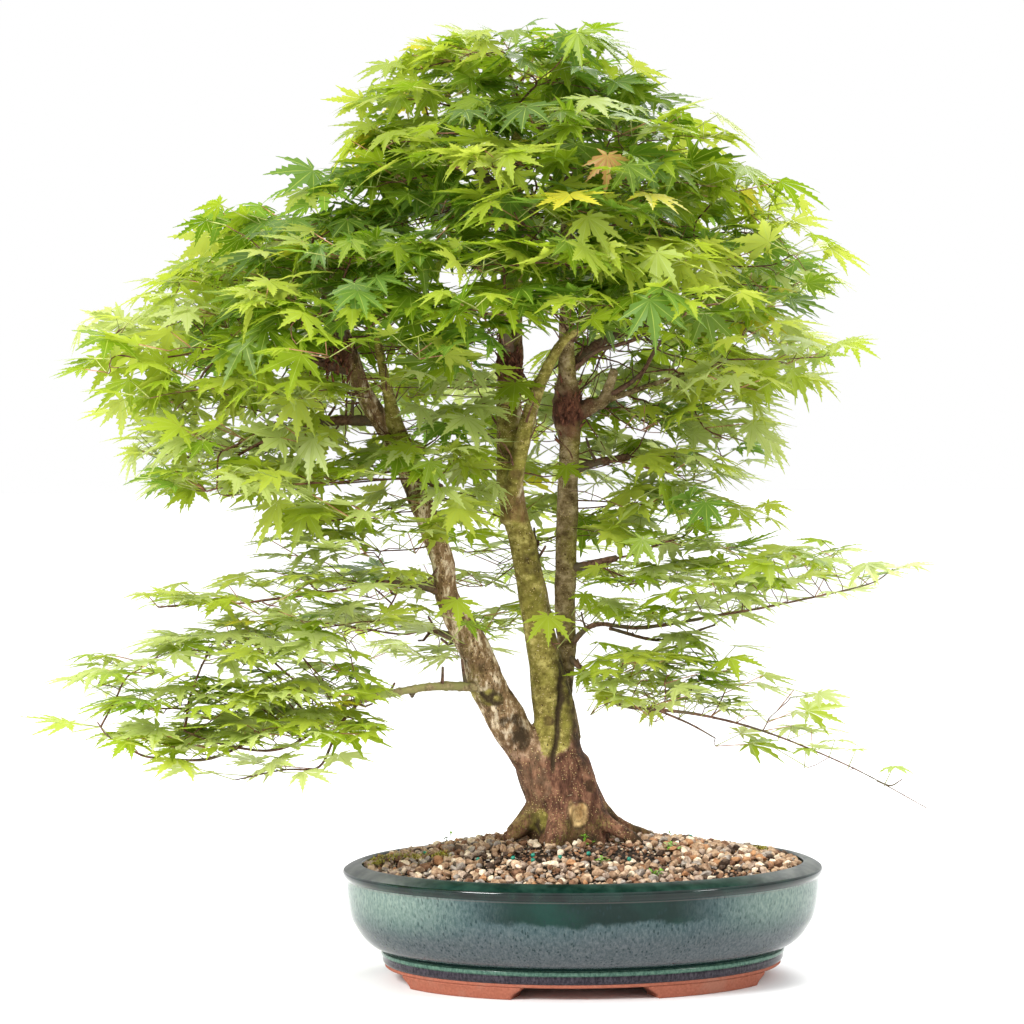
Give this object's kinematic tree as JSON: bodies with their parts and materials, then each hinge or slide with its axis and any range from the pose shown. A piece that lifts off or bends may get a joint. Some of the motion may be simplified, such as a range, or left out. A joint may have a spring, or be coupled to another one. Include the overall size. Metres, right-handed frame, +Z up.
{
  "type": "potted maple bonsai",
  "caption": "Bonsai maple with several stems and a broad layered crown of small lobed leaves, growing in gravelly soil in a low oval glazed pot with unglazed feet.",
  "frame": {"origin": "on the floor, under the middle of the whole plant's bounding box; the middle of the pot stands 88.5 mm to +X and 15 mm to -Y of it", "axes": "+X along the pot's long side, to the viewer's right; +Y away from the front; +Z up"},
  "size_m": [0.885, 0.58, 0.953],
  "materials": {
    "glaze": "gloss",
    "terracotta": "matte",
    "gravel": "matte",
    "bark": "matte",
    "green_bark": "matte",
    "foliage": "satin"
  },
  "bodies": {
    "root": {"bough_centre_front": "bark", "bough_centre_under": "bark", "bough_green": "green_bark", "bough_knuckle": "bark", "bough_left_back": "bark", "bough_left_front": "bark", "bough_left_tier": "bark", "bough_left_tip": "bark", "bough_left_under": "bark", "bough_low_back": "bark", "bough_low_left": "bark", "bough_mid_back": "bark", "bough_mid_right": "bark", "bough_right_back": "bark", "bough_right_low": "bark", "bough_right_shoulder": "bark", "bough_right_under": "bark", "bough_right_upper": "bark", "bough_stub": "bark", "bough_top_front": "bark", "bough_top_left": "bark", "bough_top_right": "bark", "leaves_centre_front": "foliage", "leaves_centre_under": "foliage", "leaves_crown_top": "foliage", "leaves_crown_top_back": "foliage", "leaves_crown_top_front": "foliage", "leaves_crown_top_left": "foliage", "leaves_crown_top_right": "foliage", "leaves_left_back": "foliage", "leaves_left_front": "foliage", "leaves_left_shoulder": "foliage", "leaves_left_tier": "foliage", "leaves_left_tip": "foliage", "leaves_left_under": "foliage", "leaves_low_back": "foliage", "leaves_low_left": "foliage", "leaves_low_left_tip": "foliage", "leaves_low_right": "foliage", "leaves_low_right_tip": "foliage", "leaves_mid_back": "foliage", "leaves_mid_left": "foliage", "leaves_mid_left_low": "foliage", "leaves_mid_right": "foliage", "leaves_right_back": "foliage", "leaves_right_front": "foliage", "leaves_right_shoulder": "foliage", "leaves_right_tier": "foliage", "leaves_right_tip": "foliage", "leaves_right_under": "foliage", "pot_bowl": "glaze", "pot_foot_back_left": "terracotta", "pot_foot_back_right": "terracotta", "pot_foot_front_left": "terracotta", "pot_foot_front_right": "terracotta", "soil": "gravel", "trunk_centre": "bark", "trunk_left": "bark", "trunk_right": "bark"}
  },
  "joints": []
}
